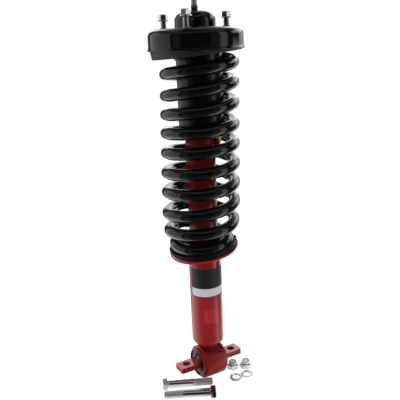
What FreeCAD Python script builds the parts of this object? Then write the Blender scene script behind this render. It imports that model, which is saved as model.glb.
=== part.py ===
import FreeCAD, Part

# Loaded strut assembly: a gas strut with its coil spring, upper mount and lower bar pin.
# Millimetres. Origin at the centre of the lower eye, +X along the bar pin, +Z up the strut.

import math
import os

V = FreeCAD.Vector

# Driving dimensions: lower eye and bar pin
eye_diameter = 54.0
eye_wall = 4.5
eye_width = 36.0
bush_shell_wall = 1.5
bush_shell_overhang = 4.5
bush_rubber_recess = 2.5
bar_pin_length = 113.0
bar_pin_width = 22.0
bar_pin_thickness = 9.0
bar_pin_core_diameter = 20.0
bar_pin_core_length = 46.0
bar_hole_spacing = 85.0
bar_hole_diameter = 12.6
bar_corner_radius = 1.2

# Driving dimensions: strut body
tube_diameter = 45.0
tube_wall = 2.0
tube_top = 370.0
tube_lip = 2.0
roll_groove_below_top = 6.5
roll_groove_width = 4.0
roll_groove_depth = 0.8
sleeve_diameter = 50.8
sleeve_bottom = 40.0
sleeve_above_seat = 16.0
nose_diameter = 34.0
nose_depth = 12.4
nose_foot_diameter = 26.0
base_plug_height = 8.0
base_plug_step = 6.0
sleeve_bevel = 1.2
roll_lip_width = 5.0

# Driving dimensions: lower spring seat, which slopes up towards +X
seat_diameter = 107.0
seat_height = 191.0
seat_slope = 0.15
seat_thickness = 3.0
seat_rim_height = 5.5
seat_corner = 3.0
seat_collar_height = 9.0
pad_inset = 1.0
pad_thickness = 4.0
pad_corner = 1.7
pad_inner_wall = 4.0
pad_lip_height = 11.5
pad_lip_end = -3.0
pad_lip_direction = -117.0

# Driving dimensions: coil spring
wire_diameter = 18.1
coil_radius = 49.2
pigtail_radius = 40.7
coil_above_seat = 21.3
coil_below_isolator = 11.4
coil_start_angle = -30.0
top_turns = 0.37
body_turns = 9.0
pigtail_turns = 0.62
narrowing_start = 8.4
landing_start = 8.6
landing_turns = 0.5
coil_shift_top = 4.0
coil_shift_bottom = -4.2
points_per_turn = 4

# Driving dimensions: piston, rod and guide
rod_diameter = 14.0
rod_thread_diameter = 10.0
rod_shoulder_below_cup = 22.0
stem_above_cap = 8.2
stem_key_length = 12.0
stem_key_width = 8.0
piston_height = 14.0
piston_band_height = 8.0
piston_band_thickness = 1.0
shim_diameter = 32.0
shim_step = 4.0
shim_thickness = 1.0
shim_count = 3
piston_nut_width = 17.0
piston_nut_height = 9.0
piston_port_diameter = 3.2
piston_port_circle = 27.0
piston_port_count = 8
guide_height = 17.0
guide_bush_thickness = 2.0
guide_flange_height = 6.0
guide_flute_count = 6
guide_flute_radius = 3.0
seal_height = 5.5
seal_wedge = 6.0
seal_lip_height = 3.5
end_disc_thickness = 2.0
rebound_clip_thickness = 2.5
rebound_ring_height = 22.7
rebound_ring_wall = 5.5
rebound_ring_bulge = 1.6
floating_piston_top = 172.0
floating_piston_height = 20.0
floating_piston_dish = 8.0
floating_piston_wall = 4.0
floating_ring_section = 4.0

# Driving dimensions: bump stop and dust cover
travel = 85.0
cover_diameter = 67.0
cover_wall = 2.2
cover_length = 124.0
cover_bead = 1.2
cover_bead_height = 3.6
cover_below_rod_shoulder = 3.0
bump_groove_depth = 4.0
bump_groove_rise = 14.0
bump_groove_width = 6.0
skirt_diameter = 59.0
skirt_wall = 2.2
skirt_cone_below_tube_top = 2.0
skirt_mouth_diameter = 44.6
skirt_cone_height = 27.0
skirt_high_side_above_tube_top = 19.0
skirt_low_angle = 32.0

# Driving dimensions: upper mount
cup_diameter = 137.0
cup_wall = 3.0
cup_lip = 1.4
cup_flat_diameter = 114.0
cup_height = 30.0
cup_shoulder_height = 8.2
cup_shoulder_drop = 1.6
cup_shoulder_run = 7.0
cup_crown_in = 2.2
cup_crown_down = 3.0
cup_lip_height = 4.4
cup_top = 525.0
cap_diameter = 58.4
cap_wall = 2.0
cap_straight = 10.0
cap_height = 22.8
cap_flat_diameter = 26.0
cap_rounding = 0.30
mount_bore_diameter = 44.0
mount_rubber_diameter = 53.0
mount_rubber_below_cup = 17.0
mount_rubber_above_cup = 5.0
mount_rubber_room = 1.5
mount_rubber_corner = 3.0
mount_sleeve_wall = 3.5
mount_sleeve_above_cup = 7.0
washer_diameter = 40.0
washer_thickness = 3.0
upper_washer_diameter = 34.0
upper_washer_thickness = 2.5
rod_nut_width = 17.0
rod_nut_height = 9.5
isolator_top_diameter = 134.0
isolator_bottom_diameter = 125.0
isolator_below_cup = 36.7
isolator_slope = 0.085
isolator_step_below_cup = 31.0

# Driving dimensions: mount studs and their flange nuts
stud_circle_diameter = 106.4
stud_circle_shift = -5.0
stud_count = 3
stud_first_angle = -128.6
stud_diameter = 8.0
stud_press_diameter = 9.0
stud_thread_diameter = 7.2
stud_thread_below_nut = 0.6
stud_above_cup = 20.6
stud_head_diameter = 13.0
stud_head_height = 3.0
stud_collar_diameter = 11.0
stud_collar_height = 1.5
flange_nuts_above_cup = (14.9, 11.9, 10.4)
flange_nut_width = 13.0
flange_nut_height = 9.2
flange_nut_flange = 16.5
flange_nut_edge = 0.8
flange_nut_rise = 2.4

# Driving dimensions: loose hardware for the bar pin, lying on the ground
bolt_diameter = 12.0
bolt_length = 73.0
bolt_plain_length = 42.0
bolt_thread_relief = 0.25
bolt_point = 1.5
bolt_head_width = 18.0
bolt_head_height = 7.5
lock_nut_width = 18.0
lock_nut_height = 8.0
lock_collar_diameter = 14.6
lock_collar_height = 4.0
spring_washer_diameter = 20.5
spring_washer_width = 4.0
spring_washer_thickness = 2.6
spring_washer_gap_angle = 12.0
spring_washer_turn = 100.0
bolt_heads = [(-88.5, -1.5), (-28.5, -64.9)]
bolt_tips = [(-13.2, -31.4), (-96.3, -21.4)]
lock_nut_places = [(40.7, -8.2), (60.4, -18.1)]
spring_washer_places = [(27.5, -37.9), (47.3, -40.9)]

# Clearances
press_clearance = 0.05
running_clearance = 0.06
rubber_clearance = 0.08
seat_clearance = 0.30
weld_clearance = 0.6
bevel = 1.0
fine_bevel = 0.5

# Values that follow from the driving dimensions
eye_radius = eye_diameter / 2
shell_radius = eye_radius - eye_wall
rubber_radius = shell_radius - bush_shell_wall - rubber_clearance
tube_radius = tube_diameter / 2
bore_radius = tube_radius - tube_wall
sleeve_radius = sleeve_diameter / 2
rod_radius = rod_diameter / 2
thread_radius = rod_thread_diameter / 2
wire_radius = wire_diameter / 2
seat_radius = seat_diameter / 2
pad_floor = seat_height + seat_thickness
cover_radius = cover_diameter / 2
cup_radius = cup_diameter / 2
ground = -eye_radius
guide_top = tube_top - tube_lip - end_disc_thickness - seal_height
guide_bottom = guide_top - guide_height
plate_bottom = cup_top - cup_wall
spring_axis = (coil_shift_top, 0.0)
tube_bottom = sleeve_bottom + base_plug_height
sleeve_top = seat_height + sleeve_above_seat
piston_shoulder = guide_bottom - seat_clearance - rebound_ring_height - rebound_clip_thickness
skirt_cone_top = tube_top - skirt_cone_below_tube_top
skirt_bottom = skirt_cone_top - skirt_cone_height
skirt_high_side = tube_top + skirt_high_side_above_tube_top
cup_skirt_bottom = cup_top - cup_height
cup_shoulder_top = cup_top - cup_shoulder_drop
cup_shoulder_bottom = cup_shoulder_top - cup_shoulder_height
cap_top = cup_top + cap_height
rod_shoulder = cup_top - rod_shoulder_below_cup
stem_thread_top = cap_top + stem_above_cap
stem_key_top = stem_thread_top + stem_key_length
cover_top = rod_shoulder - cover_below_rod_shoulder
cover_bottom = cover_top - cover_length
mount_rubber_bottom = cup_top - mount_rubber_below_cup
mount_rubber_top = cup_top + mount_rubber_above_cup
mount_sleeve_top = cup_top + mount_sleeve_above_cup
isolator_mid_height = cup_top - isolator_below_cup
isolator_step_height = cup_top - isolator_step_below_cup
stud_top = cup_top + stud_above_cup
coil_height = isolator_mid_height - coil_below_isolator
coil_pitch = (coil_height - seat_height - coil_above_seat) / body_turns


def turned(points, at=(0.0, 0.0)):
    """A solid of revolution about a vertical axis at the given place, from (radius, height) points."""
    corners = [V(r, 0, z) for r, z in points]
    face = Part.Face(Part.makePolygon(corners + corners[:1]))
    solid = face.revolve(V(0, 0, 0), V(0, 0, 1), 360)
    solid.translate(V(at[0], at[1], 0))
    return solid


def turned_edges(edges):
    """A solid of revolution about the strut axis, from edges that close a section in the XZ plane."""
    return Part.Face(Part.Wire(edges)).revolve(V(0, 0, 0), V(0, 0, 1), 360)


def line(a, b):
    return Part.makeLine(V(a[0], 0, a[1]), V(b[0], 0, b[1]))


def arc(a, middle, b):
    return Part.Arc(V(a[0], 0, a[1]), V(middle[0], 0, middle[1]), V(b[0], 0, b[1])).toShape()


def column(radius, low, high, at=(0.0, 0.0)):
    return Part.makeCylinder(radius, high - low, V(at[0], at[1], low))


def ring(outer, inner, low, high, at=(0.0, 0.0)):
    return turned([(inner, low), (outer, low), (outer, high), (inner, high)], at)


def rod_along_x(radius, length):
    return Part.makeCylinder(radius, length, V(-length / 2, 0, 0), V(1, 0, 0))


def hexagon(width, height, at=V(0, 0, 0)):
    """A hexagonal prism, width across flats, standing on its place."""
    corner = width / 2 / math.cos(math.radians(30))
    points = [V(corner * math.cos(math.radians(60 * i)), corner * math.sin(math.radians(60 * i)), 0)
              for i in range(7)]
    prism = Part.Face(Part.makePolygon(points)).extrude(V(0, 0, height))
    prism.translate(at)
    return prism


def chamfered_hexagon(width, height, crown):
    """A hexagonal prism whose top corners are turned off at thirty degrees."""
    corner = width / 2 / math.cos(math.radians(30))
    drop = (corner - crown) * math.tan(math.radians(30))
    blank = turned([(0, 0), (corner, 0), (corner, height - drop), (crown, height), (0, height)])
    return hexagon(width, height).common(blank)


def on_circle(radius, count, first, centre=(0.0, 0.0)):
    """Evenly spaced places on a circle, first angle in degrees."""
    angles = [math.radians(first + 360.0 * i / count) for i in range(count)]
    return [(centre[0] + radius * math.cos(a), centre[1] + radius * math.sin(a)) for a in angles]


def tilted(shape):
    """Leans a piece that was made level so that it follows the sloping lower spring seat."""
    leaning = shape.copy()
    leaning.rotate(V(0, 0, seat_height), V(0, 1, 0), -math.degrees(math.atan(seat_slope)))
    return leaning


def make_eye_ring():
    return rod_along_x(eye_radius, eye_width).cut(rod_along_x(shell_radius, eye_width))


def make_bushing_shell():
    length = eye_width + 2 * bush_shell_overhang
    return rod_along_x(shell_radius - press_clearance, length).cut(
        rod_along_x(shell_radius - bush_shell_wall, length))


def make_bushing_rubber():
    """The rubber is dished at both ends between the pin and the shell."""
    half = eye_width / 2
    core = bar_pin_core_diameter / 2
    middle = (core + rubber_radius) / 2
    edges = [line((core, -half), (core, half)),
             arc((core, half), (middle, half - bush_rubber_recess), (rubber_radius, half)),
             line((rubber_radius, half), (rubber_radius, -half)),
             arc((rubber_radius, -half), (middle, -half + bush_rubber_recess), (core, -half))]
    rubber = turned_edges(edges)
    rubber.rotate(V(0, 0, 0), V(0, 1, 0), 90)
    return rubber


def make_bar_pin():
    """A forged pin: a round core in the rubber, flattened at both ends and drilled for bolts."""
    half_w = bar_pin_width / 2
    half_t = bar_pin_thickness / 2
    flat = Part.makeBox(bar_pin_length, bar_pin_width, bar_pin_thickness,
                        V(-bar_pin_length / 2, -half_w, -half_t))
    corners = [e for e in flat.Edges
               if abs(e.Vertexes[0].Z - e.Vertexes[1].Z) > half_t]
    flat = flat.makeFillet(bar_corner_radius, corners)
    core = rod_along_x(bar_pin_core_diameter / 2, bar_pin_core_length)
    rim = [e for e in core.Edges if e.Closed and e.Length > 1]
    core = core.makeChamfer((bar_pin_core_diameter - bar_pin_thickness) / 2 - bevel, rim)
    middle = rod_along_x(bar_pin_width, eye_width)
    pin = flat.cut(middle).fuse(core).removeSplitter()
    for x in (-bar_hole_spacing / 2, bar_hole_spacing / 2):
        pin = pin.cut(column(bar_hole_diameter / 2, -half_w, half_w, (x, 0)))
    return pin


def make_base_cap():
    """The closing nose under the body, a cone with a narrower foot that is cut to sit on the eye ring."""
    nose = sleeve_bottom - nose_depth
    plug = bore_radius - press_clearance
    half = base_plug_step / 2
    foot = nose_foot_diameter / 2
    cap = turned([(0, 0), (foot, 0), (foot, nose), (nose_diameter / 2, nose),
                  (sleeve_radius, sleeve_bottom), (tube_radius, sleeve_bottom),
                  (tube_radius, tube_bottom - half), (plug, tube_bottom - half), (plug, tube_bottom + half),
                  (0, tube_bottom + half)])
    return cap.cut(rod_along_x(eye_radius, 4 * eye_width))


def make_body_sleeve():
    """The outer sleeve that stiffens the lower body and carries the spring seat."""
    inner = tube_radius + press_clearance
    return turned([(inner, sleeve_bottom), (sleeve_radius, sleeve_bottom),
                   (sleeve_radius, sleeve_top - sleeve_bevel), (sleeve_radius - sleeve_bevel, sleeve_top),
                   (inner, sleeve_top)])


def make_strut_tube():
    """The pressure tube, rolled in over the seal pack, with a rolled groove that holds the guide."""
    low = tube_bottom - base_plug_step / 2
    groove = tube_top - roll_groove_below_top
    half = roll_groove_width / 2
    deep = tube_radius - roll_groove_depth
    lip_inner = bore_radius - roll_lip_width
    curl = tube_lip * (1 - math.sqrt(0.5))
    edges = [line((bore_radius, low), (tube_radius, low)),
             line((tube_radius, low), (tube_radius, groove - half)),
             arc((tube_radius, groove - half), (deep, groove), (tube_radius, groove + half)),
             line((tube_radius, groove + half), (tube_radius, tube_top - tube_lip)),
             arc((tube_radius, tube_top - tube_lip),
                 (tube_radius - curl, tube_top - curl),
                 (tube_radius - tube_lip, tube_top)),
             line((tube_radius - tube_lip, tube_top), (lip_inner, tube_top)),
             line((lip_inner, tube_top), (lip_inner, tube_top - tube_lip)),
             line((lip_inner, tube_top - tube_lip), (bore_radius, tube_top - tube_lip)),
             line((bore_radius, tube_top - tube_lip), (bore_radius, low))]
    return turned_edges(edges)


def make_lower_spring_seat():
    """The pressed dish welded round the body, level here and leaned by its slope at the end."""
    hub = sleeve_radius + weld_clearance
    low = seat_height
    corner = seat_radius - seat_corner
    inside = seat_radius - seat_thickness
    top = low + seat_rim_height
    floor = low + seat_thickness
    dish = turned([(hub, low), (corner, low), (seat_radius, low + seat_corner * 2 / 3), (seat_radius, top),
                   (inside, top), (inside, floor + fine_bevel), (inside - 3 * fine_bevel, floor),
                   (hub + seat_thickness + bevel, floor), (hub + seat_thickness, floor + bevel),
                   (hub + seat_thickness, low + seat_collar_height), (hub, low + seat_collar_height)])
    return tilted(dish).cut(column(sleeve_radius + press_clearance, sleeve_bottom, tube_top))


def make_lower_spring_isolator():
    """The rubber pad in the dish, with a lip round half its edge that fits under the coil's last turn."""
    inner = sleeve_radius + weld_clearance + seat_thickness + 2 * bevel
    outer = seat_radius - seat_thickness - press_clearance
    low = pad_floor + press_clearance
    top = pad_seat_level()
    pad = turned([(inner, low), (outer - pad_corner, low), (outer, low + bevel), (outer, top), (inner, top)])
    hub = ring(inner + pad_inner_wall, inner, low, top + pad_inner_wall)
    lip_top = pad_floor + pad_lip_height
    rim = seat_height + seat_rim_height + press_clearance
    edge = seat_radius - pad_inset
    lip = turned([(0, top), (outer, top), (outer, rim), (edge, rim), (edge, lip_top - pad_corner),
                  (edge - pad_corner, lip_top), (0, lip_top)])
    side = Part.makeBox(seat_diameter, 2 * seat_diameter, seat_diameter,
                        V(pad_lip_end, -seat_diameter, low))
    side.rotate(V(0, 0, 0), V(0, 0, 1), pad_lip_direction)
    room = pigtail_radius * slope_stretch() + wire_radius / 2
    shift = coil_shift_bottom + (top + wire_radius - seat_height) * seat_slope
    lip = lip.common(side).cut(column(room, low, lip_top, (shift, 0)))
    pad = tilted(pad.fuse(hub).fuse(lip).removeSplitter())
    resting = [turn for turn in coil_turns() if turn > narrowing_start - pigtail_turns]
    pad = pad.cut(wire_along(resting, wire_radius + press_clearance))
    return pad.cut(column(sleeve_radius + seat_clearance, sleeve_bottom, tube_top))


def slope_stretch():
    """Length along the sloping seat per millimetre across it."""
    return math.sqrt(1 + seat_slope * seat_slope)


def pad_seat_level():
    """Height of the pad's top face at the body axis, where the last turn of the wire rests."""
    return pad_floor + pad_thickness


def smooth(value):
    value = min(max(value, 0.0), 1.0)
    return value * value * (3 - 2 * value)


def coil_point(turn):
    """A point of the wire's centre line. Turn 0 is the first full turn's start, counted downwards."""
    angle = math.radians(coil_start_angle - 360.0 * turn)
    narrow = smooth((turn - narrowing_start) / (body_turns - narrowing_start))
    radius = coil_radius + (pigtail_radius - coil_radius) * narrow
    z = coil_height - coil_pitch * turn
    share = (coil_height - z) / (coil_pitch * body_turns)
    shift = coil_shift_top + (coil_shift_bottom - coil_shift_top) * min(share, 1.0)
    x = shift + radius * math.cos(angle)
    y = radius * math.sin(angle)
    above = pad_seat_level() - seat_height + wire_radius + press_clearance
    rest = seat_height + above * slope_stretch() + seat_slope * x
    land = smooth((turn - landing_start) / landing_turns)
    return V(x, y, z * (1 - land) + rest * land)


def coil_direction(turn):
    step = 0.001
    return (coil_point(turn + step) - coil_point(turn - step)).normalize()


def tangent_arc(start, direction, end):
    """The circular arc that leaves start along direction and reaches end."""
    chord = end - start
    along = V(chord).normalize()
    aside = direction - along * direction.dot(along)
    angle = math.acos(min(1.0, direction.dot(along)))
    rise = chord.Length / 2 * math.tan(angle / 2)
    middle = start + chord * 0.5 + V(aside).normalize() * rise
    return Part.Arc(start, middle, end).toShape()


def biarc(a, along_a, b, along_b):
    """Two arcs from a to b that keep the given directions at both ends."""
    span = b - a
    both = along_a + along_b
    share = 2 * (1 - along_a.dot(along_b))
    root = math.sqrt(span.dot(both) ** 2 + share * span.dot(span))
    reach = (root - span.dot(both)) / share
    joint = (a + b + (along_a - along_b) * reach) * 0.5
    return [tangent_arc(a, along_a, joint), tangent_arc(b, along_b * -1, joint)]


def coil_turns():
    count = int(math.ceil((top_turns + body_turns + pigtail_turns) * points_per_turn))
    step = (top_turns + body_turns + pigtail_turns) / count
    return [-top_turns + step * i for i in range(count + 1)]


def coil_path(turns):
    """The wire's centre line through the given turns, as one wire of tangent arcs."""
    edges = []
    for here, there in zip(turns[:-1], turns[1:]):
        edges += biarc(coil_point(here), coil_direction(here), coil_point(there), coil_direction(there))
    return Part.Wire(edges)


def wire_along(turns, radius):
    path = coil_path(turns)
    section = Part.Circle(coil_point(turns[0]), coil_direction(turns[0]), radius).toShape()
    shell = Part.BRepOffsetAPI.MakePipeShell(path)
    shell.add(Part.Wire(section))
    shell.build()
    shell.makeSolid()
    return shell.shape()


def make_coil_spring():
    """One unbroken round wire on biarcs, with a pigtail turn at its lower end."""
    turns = coil_turns()
    wire = wire_along(turns, wire_radius)
    expected = coil_path(turns).Length * math.pi * wire_radius ** 2
    print("coil volume over section times length: %.4f" % (wire.Volume / expected))
    return wire


def least_coil_gap():
    """The least gap between the wire's surface and itself, measured on points a turn or so apart."""
    per_turn = 48
    total = int((top_turns + body_turns + pigtail_turns) * per_turn)
    points = [coil_point(-top_turns + i / per_turn) for i in range(total + 1)]
    least = 1e9
    for i, a in enumerate(points):
        for b in points[i + per_turn // 2: i + per_turn * 3 // 2]:
            least = min(least, (a - b).Length)
    return least - wire_diameter


def make_piston_rod():
    """The chromed rod, with a threaded end for the piston and a stem through the upper mount."""
    tip = piston_shoulder - piston_stack_height() - bevel
    rod = turned([(0, tip), (thread_radius - bevel, tip), (thread_radius, tip + bevel),
                  (thread_radius, piston_shoulder), (rod_radius, piston_shoulder),
                  (rod_radius, rod_shoulder), (thread_radius, rod_shoulder),
                  (thread_radius, stem_thread_top - bevel), (thread_radius - bevel, stem_thread_top),
                  (0, stem_thread_top)])
    key = chamfered_hexagon(stem_key_width, stem_key_top - stem_thread_top, stem_key_width / 2)
    key.translate(V(0, 0, stem_thread_top))
    return rod.fuse(key).removeSplitter()


def piston_stack_height():
    return 2 * shim_count * shim_thickness + piston_height + piston_nut_height


def piston_top():
    return piston_shoulder - shim_count * shim_thickness


def make_piston():
    """The damping piston with its through ports and a seat for the band."""
    top = piston_top()
    low = top - piston_height
    outer = bore_radius - 2 * running_clearance
    groove = outer - piston_band_thickness
    middle = (top + low) / 2
    half = piston_band_height / 2
    inner = thread_radius + press_clearance
    piston = turned([(inner, low), (outer - bevel, low), (outer, low + bevel), (outer, middle - half),
                     (groove, middle - half), (groove, middle + half), (outer, middle + half),
                     (outer, top - bevel), (outer - bevel, top), (inner, top)])
    for at in on_circle(piston_port_circle / 2, piston_port_count, 0.0):
        piston = piston.cut(column(piston_port_diameter / 2, low, top, at))
    return piston


def make_piston_band():
    middle = piston_top() - piston_height / 2
    half = piston_band_height / 2 - press_clearance
    outer = bore_radius - running_clearance
    inner = bore_radius - 2 * running_clearance - piston_band_thickness
    return ring(outer, inner, middle - half, middle + half)


def make_shims(start, direction):
    """A pyramid of thin discs, widest against the piston."""
    discs = []
    for i in range(shim_count):
        a = start + direction * i * shim_thickness
        b = a + direction * shim_thickness
        radius = shim_diameter / 2 - i * shim_step
        discs.append(ring(radius, thread_radius + press_clearance, min(a, b), max(a, b)))
    return Part.makeCompound(discs)


def make_piston_nut():
    top = piston_top() - piston_height - shim_count * shim_thickness
    nut = hexagon(piston_nut_width, piston_nut_height, V(0, 0, top - piston_nut_height))
    return nut.cut(column(thread_radius + press_clearance, top - piston_nut_height, top))


def rebound_ring_low():
    return piston_shoulder + rebound_clip_thickness


def make_rebound_clip():
    return ring(rod_radius + rebound_ring_wall + bevel, rod_radius + press_clearance, piston_shoulder,
                rebound_ring_low())


def make_rebound_ring():
    """The rubber ring that meets the guide at full extension."""
    inner = rod_radius + press_clearance
    outer = inner + rebound_ring_wall
    low = rebound_ring_low()
    top = low + rebound_ring_height
    edges = [line((inner, low), (outer, low)),
             arc((outer, low), (outer + rebound_ring_bulge, (low + top) / 2), (outer, top)),
             line((outer, top), (inner, top)),
             line((inner, top), (inner, low))]
    return turned_edges(edges)


def make_rod_guide():
    """The guide that closes the tube, fluted under its flange as a die casting is."""
    outer = bore_radius - press_clearance
    inner = rod_radius + running_clearance + guide_bush_thickness + press_clearance
    guide = ring(outer, inner, guide_bottom, guide_top)
    for at in on_circle(outer, guide_flute_count, 0.0):
        guide = guide.cut(column(guide_flute_radius, guide_bottom, guide_top - guide_flange_height, at))
    return guide


def make_guide_bush():
    inner = rod_radius + running_clearance
    return ring(inner + guide_bush_thickness, inner, guide_bottom, guide_top)


def make_rod_seal():
    """The seal pack: a rubber disc with a raised wiping lip."""
    inner = rod_radius + running_clearance
    outer = bore_radius - press_clearance
    top = guide_top + seal_height
    return turned([(inner, guide_top), (outer, guide_top), (outer, top), (inner + seal_wedge, top),
                   (inner + bevel, top + seal_lip_height), (inner, top + seal_lip_height)])


def make_end_disc():
    low = guide_top + seal_height
    inner = rod_radius + running_clearance + seal_wedge + press_clearance
    return ring(bore_radius - press_clearance, inner, low, low + end_disc_thickness)


def make_floating_piston():
    """The cup that parts the oil from the gas."""
    outer = bore_radius - 2 * running_clearance
    low = floating_piston_top - floating_piston_height
    groove = outer - floating_ring_section / 2
    half = floating_ring_section / 2
    middle = (low + floating_piston_top) / 2
    dish = outer - floating_piston_wall
    return turned([(0, low + floating_piston_dish), (dish, low + floating_piston_dish), (dish, low),
                   (outer, low), (outer, middle - half), (groove, middle - half), (groove, middle + half),
                   (outer, middle + half), (outer, floating_piston_top), (0, floating_piston_top)])


def make_floating_piston_ring():
    middle = floating_piston_top - floating_piston_height / 2
    half = floating_ring_section / 2 - press_clearance
    outer = bore_radius - running_clearance
    inner = outer - floating_ring_section / 2
    bulge = outer - fine_bevel
    return turned([(inner, middle - half), (bulge, middle - half), (outer, middle - half + fine_bevel),
                   (outer, middle + half - fine_bevel), (bulge, middle + half), (inner, middle + half)])


def bump_core_bottom():
    return tube_top + travel + seat_clearance


def half_space(lean, angle, height, at=(0.0, 0.0)):
    """The block below a plane that leans by an angle towards a direction in plan."""
    block = Part.makeBox(2 * cup_diameter, 2 * cup_diameter, cup_diameter,
                         V(-cup_diameter, -cup_diameter, -cup_diameter))
    block.rotate(V(0, 0, 0), V(0, 1, 0), lean)
    block.rotate(V(0, 0, 0), V(0, 0, 1), angle)
    block.translate(V(at[0], at[1], height))
    return block


def make_bump_stop():
    """The urethane bump stop on the rod, moulded with a thin skirt whose mouth is cut on a slant."""
    top = rod_shoulder
    ledge = cover_top
    outer = cover_radius - cover_wall - press_clearance
    spigot = mount_room_radius() - abs(coil_shift_top) - seat_clearance
    skirt = skirt_diameter / 2
    mouth = skirt_mouth_diameter / 2
    core = bump_core_bottom()
    groove = core + bump_groove_rise
    throat = outer - bump_groove_depth
    body = turned([(0, top), (spigot, top), (spigot, ledge), (outer, ledge),
                   (outer, groove + bump_groove_width), (throat, groove + bump_groove_width / 2),
                   (outer, groove), (outer, core + 2 * bevel), (skirt, core), (skirt, skirt_cone_top),
                   (mouth, skirt_bottom), (mouth - skirt_wall, skirt_bottom),
                   (skirt - skirt_wall, skirt_cone_top), (skirt - skirt_wall, core), (0, core)],
                  spring_axis)
    body = body.cut(column(rod_radius + press_clearance, core, top))
    rise = (skirt_high_side - skirt_bottom) / 2
    middle = (skirt_high_side + skirt_bottom) / 2
    lean = math.degrees(math.atan(rise / (mouth + skirt_wall)))
    return body.cut(half_space(lean, skirt_low_angle, middle, spring_axis))


def make_dust_cover():
    """The stiff plastic tube round the rod, with a rolled bead at its mouth."""
    inner = cover_radius - cover_wall
    bead = cover_radius + cover_bead
    low = cover_bottom
    return turned([(inner, low), (bead - fine_bevel, low), (bead, low + fine_bevel),
                   (bead, low + cover_bead_height - cover_bead), (cover_radius, low + cover_bead_height),
                   (cover_radius, cover_top), (inner, cover_top)], spring_axis)


def mount_room_radius():
    """Radius of the room that the isolator leaves round the mount's rubber."""
    return mount_rubber_diameter / 2 + mount_rubber_room


def make_upper_spring_isolator():
    """The moulded seat over the coil: a skirt cut on a slant, a channel for the wire and a hub."""
    top = plate_bottom - press_clearance
    inside = cup_radius - cup_wall - press_clearance
    low = isolator_mid_height - isolator_slope * isolator_top_diameter
    wide = isolator_top_diameter / 2 - bevel
    narrow = isolator_bottom_diameter / 2
    shoulder, crown = cup_inside()
    blank = turned([(0, low), (narrow, low), (wide, isolator_step_height), (inside, isolator_step_height),
                    (inside, cup_shoulder_bottom - cup_wall / 2), (crown[0] - bevel, crown[1] - bevel),
                    (shoulder[0] - bevel, shoulder[1] - seat_clearance), (cup_flat_diameter / 2, top), (0, top)])
    lean = -math.degrees(math.atan(isolator_slope))
    blank = blank.cut(half_space(lean, coil_start_angle, isolator_mid_height))
    channel = ring(coil_radius + wire_radius + seat_clearance, coil_radius - wire_radius - seat_clearance,
                   low, coil_ceiling(), spring_axis)
    blank = blank.cut(channel)
    blank = blank.cut(column(cover_radius + press_clearance, low, cover_top + press_clearance, spring_axis))
    blank = blank.cut(column(mount_room_radius(), low, top))
    for at in stud_places():
        under = plate_bottom - stud_head_height
        blank = blank.cut(column(stud_head_diameter / 2 + bevel, under - bevel, top, at))
    return blank


def coil_ceiling():
    """Height of the channel's roof, just above the first turn of the wire."""
    return coil_point(-top_turns).z + wire_radius + seat_clearance


def cup_inside():
    """The inner shoulder and crown points of the cup's section, below its sloping top."""
    shoulder = (cup_radius - cup_shoulder_run - cup_wall * 0.4, cup_shoulder_top - cup_wall)
    crown = (cup_radius - cup_crown_in - cup_wall * 0.8, cup_shoulder_top - cup_crown_down - cup_wall * 0.8)
    return shoulder, crown


def make_mount_cup():
    """The pressed upper mount: a shallow inverted cup with a small turned-out lip."""
    r = cup_radius
    w = cup_wall
    shoulder = (r - cup_shoulder_run, cup_shoulder_top)
    crown = (r - cup_crown_in, cup_shoulder_top - cup_crown_down)
    flat = cup_flat_diameter / 2
    bore = mount_bore_diameter / 2
    inner_shoulder, inner_crown = cup_inside()
    edges = [line((r - w, cup_skirt_bottom), (r + cup_lip, cup_skirt_bottom)),
             line((r + cup_lip, cup_skirt_bottom), (r + cup_lip, cup_skirt_bottom + cup_lip)),
             line((r + cup_lip, cup_skirt_bottom + cup_lip), (r, cup_skirt_bottom + cup_lip_height)),
             line((r, cup_skirt_bottom + cup_lip_height), (r, cup_shoulder_bottom)),
             arc((r, cup_shoulder_bottom), crown, shoulder),
             line(shoulder, (flat, cup_top)),
             line((flat, cup_top), (bore, cup_top)),
             line((bore, cup_top), (bore, cup_top - w)),
             line((bore, cup_top - w), (flat, cup_top - w)),
             line((flat, cup_top - w), inner_shoulder),
             arc(inner_shoulder, inner_crown, (r - w, cup_shoulder_bottom - w * 0.4)),
             line((r - w, cup_shoulder_bottom - w * 0.4), (r - w, cup_skirt_bottom))]
    cup = turned_edges(edges)
    for at in stud_places():
        cup = cup.cut(column(stud_press_diameter / 2 + press_clearance, cup_skirt_bottom, cup_top, at))
    return cup


def make_mount_cap():
    """The drawn cap over the rod nut, with a hole that clears the stem."""
    outer = cap_diameter / 2
    inner = outer - cap_wall
    knee = cup_top + cap_straight
    flat = cap_flat_diameter / 2
    hole = thread_radius + seat_clearance
    mid = (outer - (outer - flat) * cap_rounding, knee + (cap_top - knee) * (1 - cap_rounding))
    mid_in = (mid[0] - cap_wall * 0.8, mid[1] - cap_wall * 0.8)
    roof = cap_top - cap_wall
    edges = [line((inner, cup_top), (outer, cup_top)),
             line((outer, cup_top), (outer, knee)),
             arc((outer, knee), mid, (flat, cap_top)),
             line((flat, cap_top), (hole, cap_top)),
             line((hole, cap_top), (hole, roof)),
             line((hole, roof), (flat, roof)),
             arc((flat, roof), mid_in, (inner, knee)),
             line((inner, knee), (inner, cup_top))]
    return turned_edges(edges)


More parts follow.
